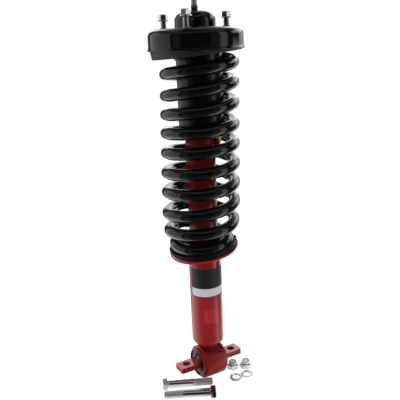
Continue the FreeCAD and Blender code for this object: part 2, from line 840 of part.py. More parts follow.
def make_mount_rubber():
    """The bonded rubber that grips the plate's edge and holds the inner sleeve."""
    inner = thread_radius + press_clearance + mount_sleeve_wall + press_clearance
    outer = mount_rubber_diameter / 2
    neck = mount_bore_diameter / 2 - press_clearance
    upper = cap_diameter / 2 - cap_wall - bevel
    corner = mount_rubber_corner
    low = mount_rubber_bottom
    top = mount_rubber_top
    under = plate_bottom - press_clearance
    over = cup_top + press_clearance
    return turned([(inner, low), (outer - corner, low), (outer, low + corner), (outer, under), (neck, under),
                   (neck, over), (upper, over), (upper, top - 2 * bevel), (upper - 2 * bevel, top),
                   (inner, top)])


def make_mount_sleeve():
    inner = thread_radius + press_clearance
    return ring(inner + mount_sleeve_wall, inner, rod_shoulder + washer_thickness, mount_sleeve_top)


def make_lower_washer():
    """The dished washer on the rod's shoulder."""
    inner = thread_radius + press_clearance
    outer = washer_diameter / 2
    low = rod_shoulder
    high = low + washer_thickness
    return ring(outer, inner, low, high)


def make_upper_washer():
    inner = thread_radius + press_clearance
    low = mount_sleeve_top
    return ring(upper_washer_diameter / 2, inner, low, low + upper_washer_thickness)


def make_rod_nut():
    low = mount_sleeve_top + upper_washer_thickness
    nut = chamfered_hexagon(rod_nut_width, rod_nut_height, rod_nut_width / 2)
    nut.translate(V(0, 0, low))
    return nut.cut(column(thread_radius + press_clearance, low, low + rod_nut_height))


def stud_places():
    return on_circle(stud_circle_diameter / 2, stud_count, stud_first_angle, (stud_circle_shift, 0.0))


def make_mount_studs():
    """Three studs pressed up through the plate, each with its head below and a collar above."""
    studs = []
    cup = make_mount_cup()
    head = stud_head_diameter / 2
    collar = stud_collar_diameter / 2
    shank = stud_diameter / 2
    pressed = stud_press_diameter / 2
    thread = stud_thread_diameter / 2
    within = cup_top - cup_wall / 2
    under = plate_bottom - stud_head_height
    over = cup_top + press_clearance
    for at, rise in zip(stud_places(), flange_nuts_above_cup):
        plain = cup_top + rise - stud_thread_below_nut
        stud = turned([(0, under), (head, under), (head, within), (pressed, within), (pressed, over),
                       (collar, over), (collar, over + stud_collar_height / 2),
                       (shank, over + stud_collar_height), (shank, plain), (thread, plain + shank - thread),
                       (thread, stud_top - bevel), (thread - bevel, stud_top), (0, stud_top)], at)
        studs.append(stud.cut(cup))
    return Part.makeCompound(studs)


def make_flange_nuts():
    """The three flange nuts, each run on to its stud by its own height."""
    nuts = []
    for at, rise in zip(stud_places(), flange_nuts_above_cup):
        body = chamfered_hexagon(flange_nut_width, flange_nut_height, flange_nut_width / 2)
        rim = flange_nut_flange / 2
        flange = turned([(0, 0), (rim, 0), (rim, flange_nut_edge), (flange_nut_width / 2, flange_nut_rise),
                         (0, flange_nut_rise)])
        nut = body.fuse(flange).removeSplitter()
        nut = nut.cut(column(stud_thread_diameter / 2 + press_clearance, 0, flange_nut_height))
        nut.translate(V(at[0], at[1], cup_top + rise))
        nuts.append(nut)
    return Part.makeCompound(nuts)


def make_mounting_bolts():
    """The two bolts of the bar pin, each lying on a corner of its head and on its tip."""
    bolts = []
    for head, tip in zip(bolt_heads, bolt_tips):
        radius = bolt_diameter / 2
        thread = radius - bolt_thread_relief
        shank = turned([(0, 0), (radius, 0), (radius, bolt_plain_length),
                        (thread, bolt_plain_length + fine_bevel), (thread, bolt_length - bolt_point),
                        (thread - bolt_point, bolt_length), (0, bolt_length)])
        cap = chamfered_hexagon(bolt_head_width, bolt_head_height, bolt_head_width / 2)
        cap.rotate(V(0, 0, 0), V(1, 0, 0), 180)
        bolt = shank.fuse(cap).removeSplitter()
        bolt.rotate(V(0, 0, 0), V(0, 1, 0), 90)
        corner = bolt_head_width / 2 / math.cos(math.radians(30))
        drop = math.degrees(math.asin((corner - thread) / bolt_length))
        bolt.rotate(V(0, 0, 0), V(0, 1, 0), drop)
        turn = math.degrees(math.atan2(tip[1] - head[1], tip[0] - head[0]))
        bolt.rotate(V(0, 0, 0), V(0, 0, 1), turn)
        bolt.translate(V(head[0], head[1], 0))
        along = V(math.cos(math.radians(turn)), math.sin(math.radians(turn)), 0)
        bolt.translate(along * bolt_head_height)
        bolt.translate(V(0, 0, ground - bolt.BoundBox.ZMin))
        bolts.append(bolt)
    return Part.makeCompound(bolts)


def make_lock_nuts():
    """Two all-metal lock nuts, a hexagon with a round collar on top."""
    nuts = []
    for at in lock_nut_places:
        body = chamfered_hexagon(lock_nut_width, lock_nut_height, lock_nut_width / 2)
        radius = lock_collar_diameter / 2
        top = lock_nut_height + lock_collar_height
        collar = turned([(0, 0), (radius, 0), (radius, top - bevel), (radius - bevel, top), (0, top)])
        nut = body.fuse(collar).removeSplitter()
        nut = nut.cut(column(bolt_diameter / 2 - fine_bevel, 0, top))
        nut.translate(V(at[0], at[1], ground))
        nuts.append(nut)
    return Part.makeCompound(nuts)


def make_spring_washers():
    """Two split spring washers, cut through on one side."""
    washers = []
    for at in spring_washer_places:
        outer = spring_washer_diameter / 2
        washer = ring(outer, outer - spring_washer_width, 0, spring_washer_thickness)
        slot = Part.makeBox(spring_washer_diameter, outer * math.radians(spring_washer_gap_angle),
                            spring_washer_thickness)
        slot.rotate(V(0, 0, 0), V(0, 0, 1), spring_washer_turn)
        washer = washer.cut(slot)
        washer.translate(V(at[0], at[1], ground))
        washers.append(washer)
    return Part.makeCompound(washers)


def make_all():
    """Every node of the assembly by name."""
    return {
        "bar_pin": make_bar_pin(),
        "bushing_rubber": make_bushing_rubber(),
        "bushing_shell": make_bushing_shell(),
        "eye_ring": make_eye_ring(),
        "base_cap": make_base_cap(),
        "body_sleeve": make_body_sleeve(),
        "strut_tube": make_strut_tube(),
        "lower_spring_seat": make_lower_spring_seat(),
        "lower_spring_isolator": make_lower_spring_isolator(),
        "coil_spring": make_coil_spring(),
        "rod_guide": make_rod_guide(),
        "guide_bush": make_guide_bush(),
        "rod_seal": make_rod_seal(),
        "end_disc": make_end_disc(),
        "floating_piston": make_floating_piston(),
        "floating_piston_ring": make_floating_piston_ring(),
        "piston_rod": make_piston_rod(),
        "piston": make_piston(),
        "piston_band": make_piston_band(),
        "rebound_shims": make_shims(piston_top() - piston_height, -1),
        "compression_shims": make_shims(piston_top(), 1),
        "piston_nut": make_piston_nut(),
        "rebound_clip": make_rebound_clip(),
        "rebound_ring": make_rebound_ring(),
        "bump_stop": make_bump_stop(),
        "dust_cover": make_dust_cover(),
        "upper_spring_isolator": make_upper_spring_isolator(),
        "mount_cup": make_mount_cup(),
        "mount_cap": make_mount_cap(),
        "mount_rubber": make_mount_rubber(),
        "mount_sleeve": make_mount_sleeve(),
        "lower_washer": make_lower_washer(),
        "upper_washer": make_upper_washer(),
        "rod_nut": make_rod_nut(),
        "mount_studs": make_mount_studs(),
        "flange_nuts": make_flange_nuts(),
        "mounting_bolts": make_mounting_bolts(),
        "lock_nuts": make_lock_nuts(),
        "spring_washers": make_spring_washers(),
    }


os.makedirs("parts", exist_ok=True)
for node, shape in make_all().items():
    shape.exportStep("parts/" + node + ".step")
print("least gap of the coil to itself: %.2f mm" % least_coil_gap())
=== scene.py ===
import math

import bmesh
import bpy
import numpy as np
from mathutils import Matrix, Vector


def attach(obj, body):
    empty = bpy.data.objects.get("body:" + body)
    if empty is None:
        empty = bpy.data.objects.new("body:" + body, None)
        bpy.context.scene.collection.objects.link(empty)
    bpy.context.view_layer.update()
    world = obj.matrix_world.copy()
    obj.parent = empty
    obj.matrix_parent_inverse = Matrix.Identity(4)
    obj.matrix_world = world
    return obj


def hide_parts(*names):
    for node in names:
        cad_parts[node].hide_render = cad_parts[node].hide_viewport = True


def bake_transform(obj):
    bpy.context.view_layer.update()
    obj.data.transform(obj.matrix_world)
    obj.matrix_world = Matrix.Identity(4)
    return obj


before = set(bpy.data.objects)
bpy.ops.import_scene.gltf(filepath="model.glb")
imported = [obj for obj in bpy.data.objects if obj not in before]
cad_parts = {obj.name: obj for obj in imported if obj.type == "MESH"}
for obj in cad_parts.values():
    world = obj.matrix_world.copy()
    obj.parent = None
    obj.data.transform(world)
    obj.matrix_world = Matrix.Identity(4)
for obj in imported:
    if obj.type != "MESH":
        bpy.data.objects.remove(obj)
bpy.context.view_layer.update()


# The view: a long lens a little above the spring's middle, looking down on the strut
# from its left front, with the small roll that the photograph has.

camera = bpy.data.objects.new("camera", bpy.data.cameras.new("camera"))
bpy.context.scene.collection.objects.link(camera)
bpy.context.scene.camera = camera
camera.data.sensor_width = 36.0
camera.data.lens = 53.3
camera.data.clip_start = 0.05
camera.data.clip_end = 30.0
camera_place = Vector((-0.4412, -0.7508, 0.5180))
heading, pitch, roll = math.radians(30.2), math.radians(15.77), math.radians(-2.47)
look = Vector((math.sin(heading) * math.cos(pitch), math.cos(heading) * math.cos(pitch),
               -math.sin(pitch)))
level = Vector((math.cos(heading), -math.sin(heading), 0.0))
upright = level.cross(look)
across = level * math.cos(roll) + upright * math.sin(roll)
above = upright * math.cos(roll) - level * math.sin(roll)
facing = Matrix((across, above, -look)).transposed().to_4x4()
camera.matrix_world = Matrix.Translation(camera_place) @ facing


# The floor and the studio: a white sweep that takes a faint shadow, three large soft lamps,
# and panels of light and dark round the strut, which the black paint and the zinc mirror.

class Value:
    """A number or colour inside a node tree. Each operator adds one Math node."""

    def __init__(self, nodes, socket):
        self.nodes, self.socket = nodes, socket

    def math(self, operation, *others, clamp=False):
        """One Math node on this value and the others."""
        settings = {"operation": operation, "use_clamp": clamp}
        return self.nodes.add("ShaderNodeMath", settings, dict(enumerate((self, *others))))

    def ramp(self, slope):
        """A mask: 0 where the value is below 0, then climbing by the slope until it is 1."""
        return self.math("MULTIPLY", slope, clamp=True)

    def __add__(self, other):
        return self.math("ADD", other)

    def __sub__(self, other):
        return self.math("SUBTRACT", other)

    def __rsub__(self, other):
        return self.nodes.add("ShaderNodeMath", {"operation": "SUBTRACT"}, {0: other, 1: self})

    def __mul__(self, other):
        return self.math("MULTIPLY", other)

    def __gt__(self, other):
        return self.math("GREATER_THAN", other)

    def __lt__(self, other):
        return self.math("LESS_THAN", other)

    def __abs__(self):
        return self.math("ABSOLUTE")

    __radd__, __rmul__ = __add__, __mul__


class Nodes:
    """A node tree that is written as expressions on Values."""

    def __init__(self, owner, coordinates="Object"):
        owner.use_nodes = True
        self.tree = owner.node_tree
        self.place = self.add("ShaderNodeTexCoord", output=coordinates)

    def add(self, kind, settings=None, inputs=None, output=0):
        """One node: its settings first, then the values or links of its sockets."""
        node = self.tree.nodes.new(kind)
        for name, value in (settings or {}).items():
            if name == "stops":
                stops = node.color_ramp.elements
                while len(stops) < len(value):
                    stops.new(1.0)
                for stop, (place, grey) in zip(stops, value):
                    stop.position = place
                    stop.color = (grey, grey, grey, 1.0)
            else:
                setattr(node, name, value)
        for name, value in (inputs or {}).items():
            self.give(node.inputs[name], value)
        return Value(self, node.outputs[output])

    def give(self, socket, value):
        if isinstance(value, Value):
            self.tree.links.new(value.socket, socket)
        else:
            socket.default_value = value

    def split(self):
        """The place as three numbers, in metres on a piece."""
        numbers = self.add("ShaderNodeSeparateXYZ", {}, {0: self.place}).socket.node.outputs
        return [Value(self, number) for number in numbers]

    def rays(self):
        """1 for a ray of each kind, or else 0: from the camera, mirrored, and passed through."""
        kinds = self.add("ShaderNodeLightPath").socket.node.outputs
        return [Value(self, kinds[kind])
                for kind in ("Is Camera Ray", "Is Glossy Ray", "Is Transmission Ray")]


def distance(x, y):
    """How far a point lies from an axis, from its two offsets."""
    return (x * x + y * y).math("SQRT")


def across_view(x, y):
    """How far a point lies to the right, as the camera is headed."""
    return x * math.cos(heading) - y * math.sin(heading)


def along_view(x, y):
    """How far a point lies beyond the strut's axis, as the camera is headed."""
    return x * math.sin(heading) + y * math.cos(heading)


# Each panel of the studio begins and ends with a bearing, in turns, and a brightness.
panels = [(0.00, 1.0), (0.05, 1.0), (0.06, 0.07), (0.115, 0.07), (0.125, 0.60), (0.320, 0.42),
          (0.328, 0.013), (0.343, 0.013), (0.350, 0.09), (0.39, 0.08), (0.40, 0.007), (0.596, 0.007),
          (0.605, 0.08), (0.664, 0.08), (0.670, 0.60), (0.72, 0.60), (0.727, 0.027), (0.837, 0.027),
          (0.85, 0.80), (0.915, 0.80), (0.92, 0.04), (0.935, 0.04), (0.94, 1.0)]


def studio_walls(nodes, x, y):
    """Brightness of the walls by their bearing from the strut, the panels times 1.5."""
    bearing = across_view(x, y).math("ARCTAN2", 0.0 - along_view(x, y)) * (0.5 / math.pi) + 0.5
    return nodes.add("ShaderNodeValToRGB", {"stops": panels}, {0: bearing}) * 1.5


world = bpy.data.worlds.new("studio")
bpy.context.scene.world = world
sky = Nodes(world, "Generated")
sky_x, sky_y, sky_z = sky.split()
wall_top, ceiling_low, ceiling_high = 0.66, 0.60, 0.96
walls = studio_walls(sky, sky_x, sky_y) * (wall_top - sky_z).ramp(7.0)
ceiling = (sky_z - ceiling_low).ramp(2.5) * 0.5 * (ceiling_high - sky_z).ramp(14.0)
box_low, box_high, box_edge, box_slope = 0.12, 0.55, 0.10, 8.0
soft_box = (sky_z - box_low).ramp(box_slope) * (box_high - sky_z).ramp(box_slope)
soft_box = soft_box * (across_view(sky_x, sky_y) - box_edge).ramp(box_slope)
soft_box = soft_box * (along_view(sky_x, sky_y) - box_edge).ramp(box_slope)
walls = walls.math("MAXIMUM", ceiling) + soft_box * 1.6
seen, glossy, through = sky.rays()
strength = seen + through + glossy * walls + (1.0 - seen - through - glossy) * 0.55
backdrop = sky.tree.nodes["Background"].inputs
sky.give(backdrop["Color"], (1.0, 1.0, 1.0, 1.0))
sky.give(backdrop["Strength"], strength)


def lamp(name, place, aim, width, height, watts):
    """A soft rectangular lamp that looks from its place to its aim."""
    light = bpy.data.lights.new(name, "AREA")
    light.shape = "RECTANGLE"
    light.size, light.size_y = width, height
    light.energy = watts
    holder = bpy.data.objects.new(name, light)
    bpy.context.scene.collection.objects.link(holder)
    way = Vector(aim) - Vector(place)
    holder.matrix_world = Matrix.Translation(place) @ way.to_track_quat("-Z", "Y").to_matrix().to_4x4()
    holder.visible_glossy = False


strut_middle = (0.0, 0.0, 0.27)
lamp("left_lamp", (-1.9, 0.2, 0.9), strut_middle, 0.9, 1.8, 26.0)
lamp("right_lamp", (0.9, -1.6, 0.9), strut_middle, 0.7, 1.6, 18.0)
lamp("top_lamp", (0.25, 0.50, 2.2), strut_middle, 1.0, 1.0, 44.0)

floor_mesh = bpy.data.meshes.new("floor")
reach, ground = 12.0, -0.0272
floor_mesh.from_pydata([(-reach, -reach, ground), (reach, -reach, ground), (reach, reach, ground),
                        (-reach, reach, ground)], [], [(0, 1, 2, 3)])
floor = bpy.data.objects.new("floor", floor_mesh)
bpy.context.scene.collection.objects.link(floor)
paper = bpy.data.materials.new("white_sweep")
sheet = Nodes(paper)
floor_x, floor_y, floor_z = sheet.split()
away = distance(floor_x, floor_y)
bolts_line, far_reach, near_reach, close_reach = -0.093, 1.1, 0.28, 0.16
behind_bolts = (along_view(floor_x, floor_y) - bolts_line).ramp(60.0)
walls = studio_walls(sheet, floor_x, floor_y) * (1.0 + (far_reach - away).ramp(2.0) * 1.2)
near = (near_reach - away).ramp(9.0) * 0.85 * behind_bolts
# Painted shadow: the floor's mirrored glow is dark in a disc under the eye.
dark_x, dark_y, dark_reach = -0.010, -0.045, 0.030
eye_shadow_painted = (distance(floor_x - dark_x, floor_y - dark_y) - dark_reach).ramp(60.0)
walls = walls.math("MAXIMUM", near) * eye_shadow_painted
seen, glossy, through = sheet.rays()
seen = seen + through
paper_shader = sheet.tree.nodes["Principled BSDF"]
paper_shader.inputs["Base Color"].default_value = (0.86, 0.86, 0.86, 1.0)
paper_shader.inputs["Roughness"].default_value = 0.9
matt = Value(sheet, paper_shader.outputs[0])
glow = sheet.add("ShaderNodeEmission", {}, {"Color": (1.0, 1.0, 1.0, 1.0),
                                            "Strength": seen * 1.13 + glossy * walls})
close = (close_reach - away).ramp(12.0) * behind_bolts
glowing = seen * 0.82 + glossy * (0.95 - close * 0.55)
sweep = sheet.add("ShaderNodeMixShader", {}, {0: glowing, 1: matt, 2: glow})
sheet.give(sheet.tree.nodes["Material Output"].inputs["Surface"], sweep)
floor_mesh.materials.append(paper)


# The body: a drawn tube sleeve closed by a spun nose, welded on the eye and sprayed with
# red enamel. A black and grey label is wrapped round its upper half and a small red one below.

MM = 0.001


def rounded(corners, radius, closed=False, steps=5):
    """A section with its corners eased: a Bezier from radius before each corner to radius after."""
    points = np.array([corner[:2] for corner in corners], float)
    wanted = np.array([corner[2] if len(corner) > 2 else radius for corner in corners], float)
    before, after = np.roll(points, 1, 0) - points, np.roll(points, -1, 0) - points
    room = np.minimum(np.hypot(*before.T), np.hypot(*after.T))
    ease = np.minimum(wanted, 0.45 * room)
    if not closed:
        ease[[0, -1]] = 0.0
    start = points + before / np.hypot(*before.T)[:, None] * ease[:, None]
    end = points + after / np.hypot(*after.T)[:, None] * ease[:, None]
    share = np.linspace(0.0, 1.0, steps)[None, :, None]
    curve = ((1 - share) ** 2 * start[:, None] + 2 * share * (1 - share) * points[:, None]
             + share ** 2 * end[:, None])
    return curve.reshape(-1, 2)


def turned(section, segments=96, at=(0.0, 0.0)):
    """Points of a turned surface: x = r cos a, y = r sin a, z as in the section."""
    angle = np.linspace(0.0, 2 * np.pi, segments, endpoint=False)[None, :]
    radius, height = section[:, :1], section[:, 1:]
    return np.stack([at[0] + radius * np.cos(angle), at[1] + radius * np.sin(angle),
                     height + 0.0 * angle], -1)


def piece(name, grids, body, replaced, material, around=True, along=False, crease=35.0):
    """A mesh object from grids of points in millimetres, each cell of a grid one face."""
    points, faces, count = [], [], 0
    for grid in grids:
        rows, columns = grid.shape[:2]
        index = np.arange(rows * columns).reshape(rows, columns) + count
        index = np.hstack([index, index[:, :1]]) if around else index
        index = np.vstack([index, index[:1]]) if along else index
        cells = np.stack([index[:-1, :-1], index[:-1, 1:], index[1:, 1:], index[1:, :-1]], -1)
        faces.append(cells.reshape(-1, 4))
        points.append(grid.reshape(-1, 3))
        count += rows * columns
    mesh = bpy.data.meshes.new(name)
    mesh.from_pydata(np.vstack(points) * MM, [], np.vstack(faces))
    shell = bmesh.new()
    shell.from_mesh(mesh)
    bmesh.ops.remove_doubles(shell, verts=shell.verts, dist=2e-6)
    bmesh.ops.recalc_face_normals(shell, faces=shell.faces)
    shell.to_mesh(mesh)
    shell.free()
    mesh.shade_smooth()
    mesh.set_sharp_from_angle(angle=math.radians(crease))
    mesh.materials.append(material)
    made = bpy.data.objects.new(name, mesh)
    bpy.context.scene.collection.objects.link(made)
    if body:
        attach(made, body)
    if replaced:
        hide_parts(*replaced)
    return made


class Finish(Nodes):
    """A material: its even values are on the shader, and vary feeds what changes over a piece."""

    def __init__(self, name, color, roughness, metallic=0.0, specular=0.5):
        self.material = bpy.data.materials.new(name)
        super().__init__(self.material)
        self.inputs = self.tree.nodes["Principled BSDF"].inputs
        self.inputs["Base Color"].default_value = (*color, 1.0)
        self.inputs["Roughness"].default_value = roughness
        self.inputs["Metallic"].default_value = metallic
        self.inputs["Specular IOR Level"].default_value = specular

    def vary(self, name, value):
        self.give(self.inputs[name], value)

    def noise(self, scale, detail=2.0, roughness=0.5):
        return self.add("ShaderNodeTexNoise", {}, {"Vector": self.place, "Scale": scale,
                                                   "Detail": detail, "Roughness": roughness})

    def blend(self, share, low, high):
        """A colour between two colours, each a Value or three numbers."""
        low, high = (color if isinstance(color, Value) else (*color, 1.0) for color in (low, high))
        return self.add("ShaderNodeMix", {"data_type": "RGBA"}, {0: share, 6: low, 7: high}, output=2)

    def relief(self, height, depth):
        """A bump of the given depth in metres."""
        self.vary("Normal", self.add("ShaderNodeBump", {}, {"Height": height, "Distance": depth,
                                                            "Strength": 1.0}))


def enamel(name, color, deep, specular=0.42, gloss=0.24):
    """Red enamel: the colour thins and thickens a little, over the faint ripple of sprayed paint."""
    paint = Finish(name, color, 0.30, specular=specular)
    paint.tint = paint.blend(paint.noise(35.0, 3.0), deep, color)
    paint.vary("Base Color", paint.tint)
    paint.vary("Roughness", gloss + paint.noise(90.0) * 0.08)
    paint.relief(paint.noise(420.0, 1.0), 0.00003)
    return paint


def wrapped(x, y, middle, half_width):
    """How far inside a patch round the strut a point is: half its width, less the angle from its
    middle, in radians."""
    ahead = x * math.cos(middle) + y * math.sin(middle)
    aside = y * math.cos(middle) - x * math.sin(middle)
    return half_width - abs(aside.math("ARCTAN2", ahead))


body_paint = enamel("red_enamel_body", (0.215, 0.0048, 0.0040), (0.188, 0.0040, 0.0032))
body_x, body_y, height = body_paint.split()
label_low, label_split, label_high = 0.1203, 0.1351, 0.1675
grey_margin, grey_inset = 0.0016, 0.075
label_inside = wrapped(body_x, body_y, math.radians(-99.0), math.radians(84.0))
in_label = (label_inside > 0.0) * (height > label_low) * (height < label_high)
in_grey = (label_inside > grey_inset) * (height > label_low + grey_margin) * (height < label_split)
sticker_low, sticker_high = 0.0760, 0.0990
sticker_inside = wrapped(body_x, body_y, math.radians(-103.0), math.radians(28.5))
in_sticker = (sticker_inside > 0.0) * (height > sticker_low) * (height < sticker_high)
print_fleck = body_paint.noise(260.0)
charcoal = body_paint.blend(print_fleck, (0.006, 0.0056, 0.0056), (0.010, 0.0096, 0.0096))
label_grey = body_paint.blend(print_fleck, (0.355, 0.350, 0.352), (0.405, 0.400, 0.402))
# Painted shade: above the label the body is a darker red, where the spring dish shades it.
dish_shade_band = height > label_high
body_color = body_paint.blend(dish_shade_band, body_paint.tint, (0.152, 0.0032, 0.0026))
body_color = body_paint.blend(in_sticker, body_color, (0.285, 0.0120, 0.0160))
body_color = body_paint.blend(in_label, body_color, charcoal)
body_paint.vary("Base Color", body_paint.blend(in_grey, body_color, label_grey))
body_paint.vary("Roughness", 0.28 - dish_shade_band * 0.16 + in_label * 0.30)
body_paint.relief(body_paint.noise(420.0, 1.0) * 0.25 + in_label + in_sticker, 0.00008)

eye_radius, foot_radius, sleeve_radius = 27.0, 13.0, 25.4
body_wall = rounded([(foot_radius, 0.0), (foot_radius, 27.0, 0.8), (16.2, 27.5, 0.9), (24.4, 37.6, 3.0),
                     (sleeve_radius, 40.6, 2.0), (sleeve_radius, 70.0), (sleeve_radius, 205.8, 0.2),
                     (24.3, 207.0, 0.2), (22.55, 207.0)], 1.0)
body_grid = turned(body_wall, 160)
saddle = np.sqrt(eye_radius ** 2 - body_grid[0, :, 1] ** 2) - 0.4
body_grid[..., 2] = np.maximum(body_grid[..., 2], saddle[None, :])
piece("body", [body_grid], "strut_body", ["base_cap", "body_sleeve"], body_paint.material)


# The eye: a cut length of tube welded across the nose, sprayed with the body.
# A wavy weld bead runs round the saddle where the two meet.

eye_paint = enamel("red_enamel_eye", (0.205, 0.0058, 0.0050), (0.170, 0.0046, 0.0040), 0.28, 0.15)
eye_x, eye_y, eye_z = eye_paint.split()
shade_low, shade_half = 0.006, 0.0171
# Painted shadow: the top of the eye's barrel is darkened where the nose above shades it.
nose_shadow_painted = (eye_z - shade_low).ramp(55.0) * (abs(eye_x) < shade_half)
eye_paint.vary("Base Color", eye_paint.blend(nose_shadow_painted, eye_paint.tint, (0.060, 0.0026, 0.0024)))


def lying(grid):
    """Turns a grid made about the upright axis so that its axis lies along the bar pin."""
    return np.stack([grid[..., 2], grid[..., 1], -grid[..., 0]], -1)


def tube_along(path, radius, segments, closed=False):
    """A round tube on a path: each ring lies across the path, radius may change from ring to ring."""
    if closed:
        along = np.roll(path, -1, 0) - np.roll(path, 1, 0)
    else:
        along = np.gradient(path, axis=0)
    along /= np.linalg.norm(along, axis=1)[:, None]
    aside = np.cross(along, (0.0, 0.0, 1.0))
    aside /= np.linalg.norm(aside, axis=1)[:, None]
    upward = np.cross(aside, along)
    angle = np.linspace(0.0, 2 * np.pi, segments, endpoint=False)[None, :, None]
    return path[:, None] + radius[:, None, None] * (np.cos(angle) * aside[:, None]
                                                    + np.sin(angle) * upward[:, None])


bead_angle = np.linspace(0.0, 2 * np.pi, 240, endpoint=False)


def bead(radius, height, width, swell, passes, segments):
    """A weld bead on x = r cos a, y = r sin a at a height, its width growing by swell sin(passes a)."""
    path = np.stack([radius * np.cos(bead_angle), radius * np.sin(bead_angle),
                     height + 0.0 * bead_angle], -1)
    return tube_along(path, width + swell * np.sin(bead_angle * passes), segments, closed=True)


eye_section = rounded([(22.5, -18.0), (eye_radius, -18.0), (eye_radius, 18.0), (22.5, 18.0)], 0.9,
                      closed=True)
piece("eye", [lying(turned(eye_section, 128))], "strut_body", ["eye_ring"],
      eye_paint.material, along=True)
nose_bead_radius = foot_radius + 0.6
nose_bead_height = np.sqrt((eye_radius + 0.4) ** 2 - (nose_bead_radius * np.sin(bead_angle)) ** 2)
piece("weld_bead", [bead(nose_bead_radius, nose_bead_height, 1.9, 0.22, 34, 14)], "strut_body",
      [], eye_paint.material, along=True, crease=60.0)


# The bushing: a steel shell pressed into the eye and rubber bonded between it and the pin.
# The rubber is dished at both ends and lighter grey at its lip, partly dust and partly painted sheen.

shell_steel = enamel("bush_shell_steel", (0.200, 0.0075, 0.0068), (0.165, 0.0060, 0.0055), gloss=0.20)
shell_x, shell_y, shell_z = shell_steel.split()
sprayed_from, edge_from = 0.0219, 0.0192
# Inside, the shell is bare steel: black near the rim and, deeper in, a bright grey that is a painted
# sheen. Outside it is sprayed red.
bare_steel_and_sheen, dark_edge = (0.620, 0.540, 0.530), (0.006, 0.004, 0.004)
inner_color = shell_steel.blend(abs(shell_x) > edge_from, bare_steel_and_sheen, dark_edge)
outside = distance(shell_y, shell_z) > sprayed_from
shell_steel.vary("Base Color", shell_steel.blend(outside, inner_color, shell_steel.tint))
shell_section = rounded([(21.0, -22.5), (22.45, -22.5), (22.45, 22.5), (21.0, 22.5)], 0.4, closed=True)
piece("bush_shell", [lying(turned(shell_section, 96))], "strut_body", ["bushing_shell"],
      shell_steel.material, along=True)

bush_rubber = Finish("bush_rubber", (0.030, 0.014, 0.012), 0.70, specular=0.2)
rubber_x, rubber_y, rubber_z = bush_rubber.split()
lip_dust_from = 0.0150
# The rubber turns lighter grey towards its lip, partly dust and partly a painted sheen.
lip_dust_and_sheen = (distance(rubber_y, rubber_z) - lip_dust_from).ramp(220.0)
lip_dust_and_sheen = lip_dust_and_sheen * (0.6 + bush_rubber.noise(140.0, 4.0, 0.6) * 0.4)
bush_rubber.vary("Base Color", bush_rubber.blend(lip_dust_and_sheen, (0.016, 0.006, 0.006), (0.330, 0.235, 0.225)))
bush_rubber.relief(bush_rubber.noise(900.0), 0.00004)
outward = np.linspace(0.0, 1.0, 25)
hollow = 18.0 - 2.6 * np.sin(np.pi * outward) ** 0.8
ridge = 0.7 * np.exp(-((outward - 0.78) / 0.06) ** 2)
rubber_front = np.stack([10.0 + 10.9 * outward, hollow + ridge], -1)
rubber_back = rubber_front[::-1] * (1.0, -1.0)
piece("bush_rubber", [lying(turned(np.vstack([rubber_front, rubber_back]), 96))], "bar",
      ["bushing_rubber"], bush_rubber.material, along=True)


# The bar pin: a forged steel bar, round in the rubber and flattened at both ends, each with
# one drilled hole, under the same red paint, chalked matt on the sides of the flats, whose darker red
# there is painted shade.

def coated(node, finish):
    """Gives a CAD solid its finish."""
    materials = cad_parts[node].data.materials
    materials.clear()
    materials.append(finish.material)


pin_paint = enamel("red_enamel_pin", (0.240, 0.0160, 0.0150), (0.205, 0.0120, 0.0110), 0.30)
pin_x, pin_y, pin_z = pin_paint.split()
side_half, core_half = 0.0038, 0.0229
shaded_side = abs(pin_z) < side_half
# Painted shade: the bar's upright sides get a darker red. They are also matt and uncoated.
pin_color = pin_paint.blend(shaded_side, pin_paint.tint, (0.160, 0.0055, 0.0050))
pin_color = pin_paint.blend(abs(pin_x) < core_half, pin_color, (0.045, 0.006, 0.005))
pin_paint.vary("Base Color", pin_color)
pin_paint.vary("Roughness", 0.15 + shaded_side * 0.30)
pin_paint.vary("Coat Weight", 1.0 - shaded_side)
pin_paint.inputs["Coat Roughness"].default_value = 0.1
coated("bar_pin", pin_paint)


# The pressure tube: cold drawn steel, painted with the body, its top rolled in over the
# seal pack above a rolled groove that holds the rod guide.

# Painted shade: the tube's red is darker than the body's, for the coil's shade round it, and darker still
# below 245 mm.
tube_paint = enamel("red_enamel_tube", (0.120, 0.0035, 0.0032), (0.090, 0.0025, 0.0022))
tube_x, tube_y, tube_z = tube_paint.split()
dark_below = 0.245
coil_shade_low = (dark_below - tube_z).ramp(60.0)
tube_paint.vary("Base Color", tube_paint.blend(coil_shade_low, tube_paint.tint, (0.030, 0.0026, 0.0026)))
tube_wall = rounded([(20.6, 200.0), (22.45, 200.0), (22.5, 361.0, 1.2), (21.7, 363.5, 1.6),
                     (22.5, 366.0, 1.2), (22.5, 370.0, 2.0), (15.6, 370.0, 0.6), (15.6, 368.2, 0.3),
                     (20.6, 368.0)], 1.0)
piece("pressure_tube", [turned(tube_wall, 128)], "strut_body", ["strut_tube"],
      tube_paint.material)


# The lower spring dish: a pressed plate with a turned-up rim, welded round the body on a slant
# and painted with it. Its rim is drawn up thin where the wire lies lowest.

slope = 0.15
seat_height = 191.0


def leaned(grid):
    """Leans a level grid about the seat's middle, up towards the right end of the bar."""
    lean = math.atan(slope)
    x, z = grid[..., 0], grid[..., 2] - seat_height
    return np.stack([x * math.cos(lean) - z * math.sin(lean), grid[..., 1],
                     x * math.sin(lean) + z * math.cos(lean) + seat_height], -1)


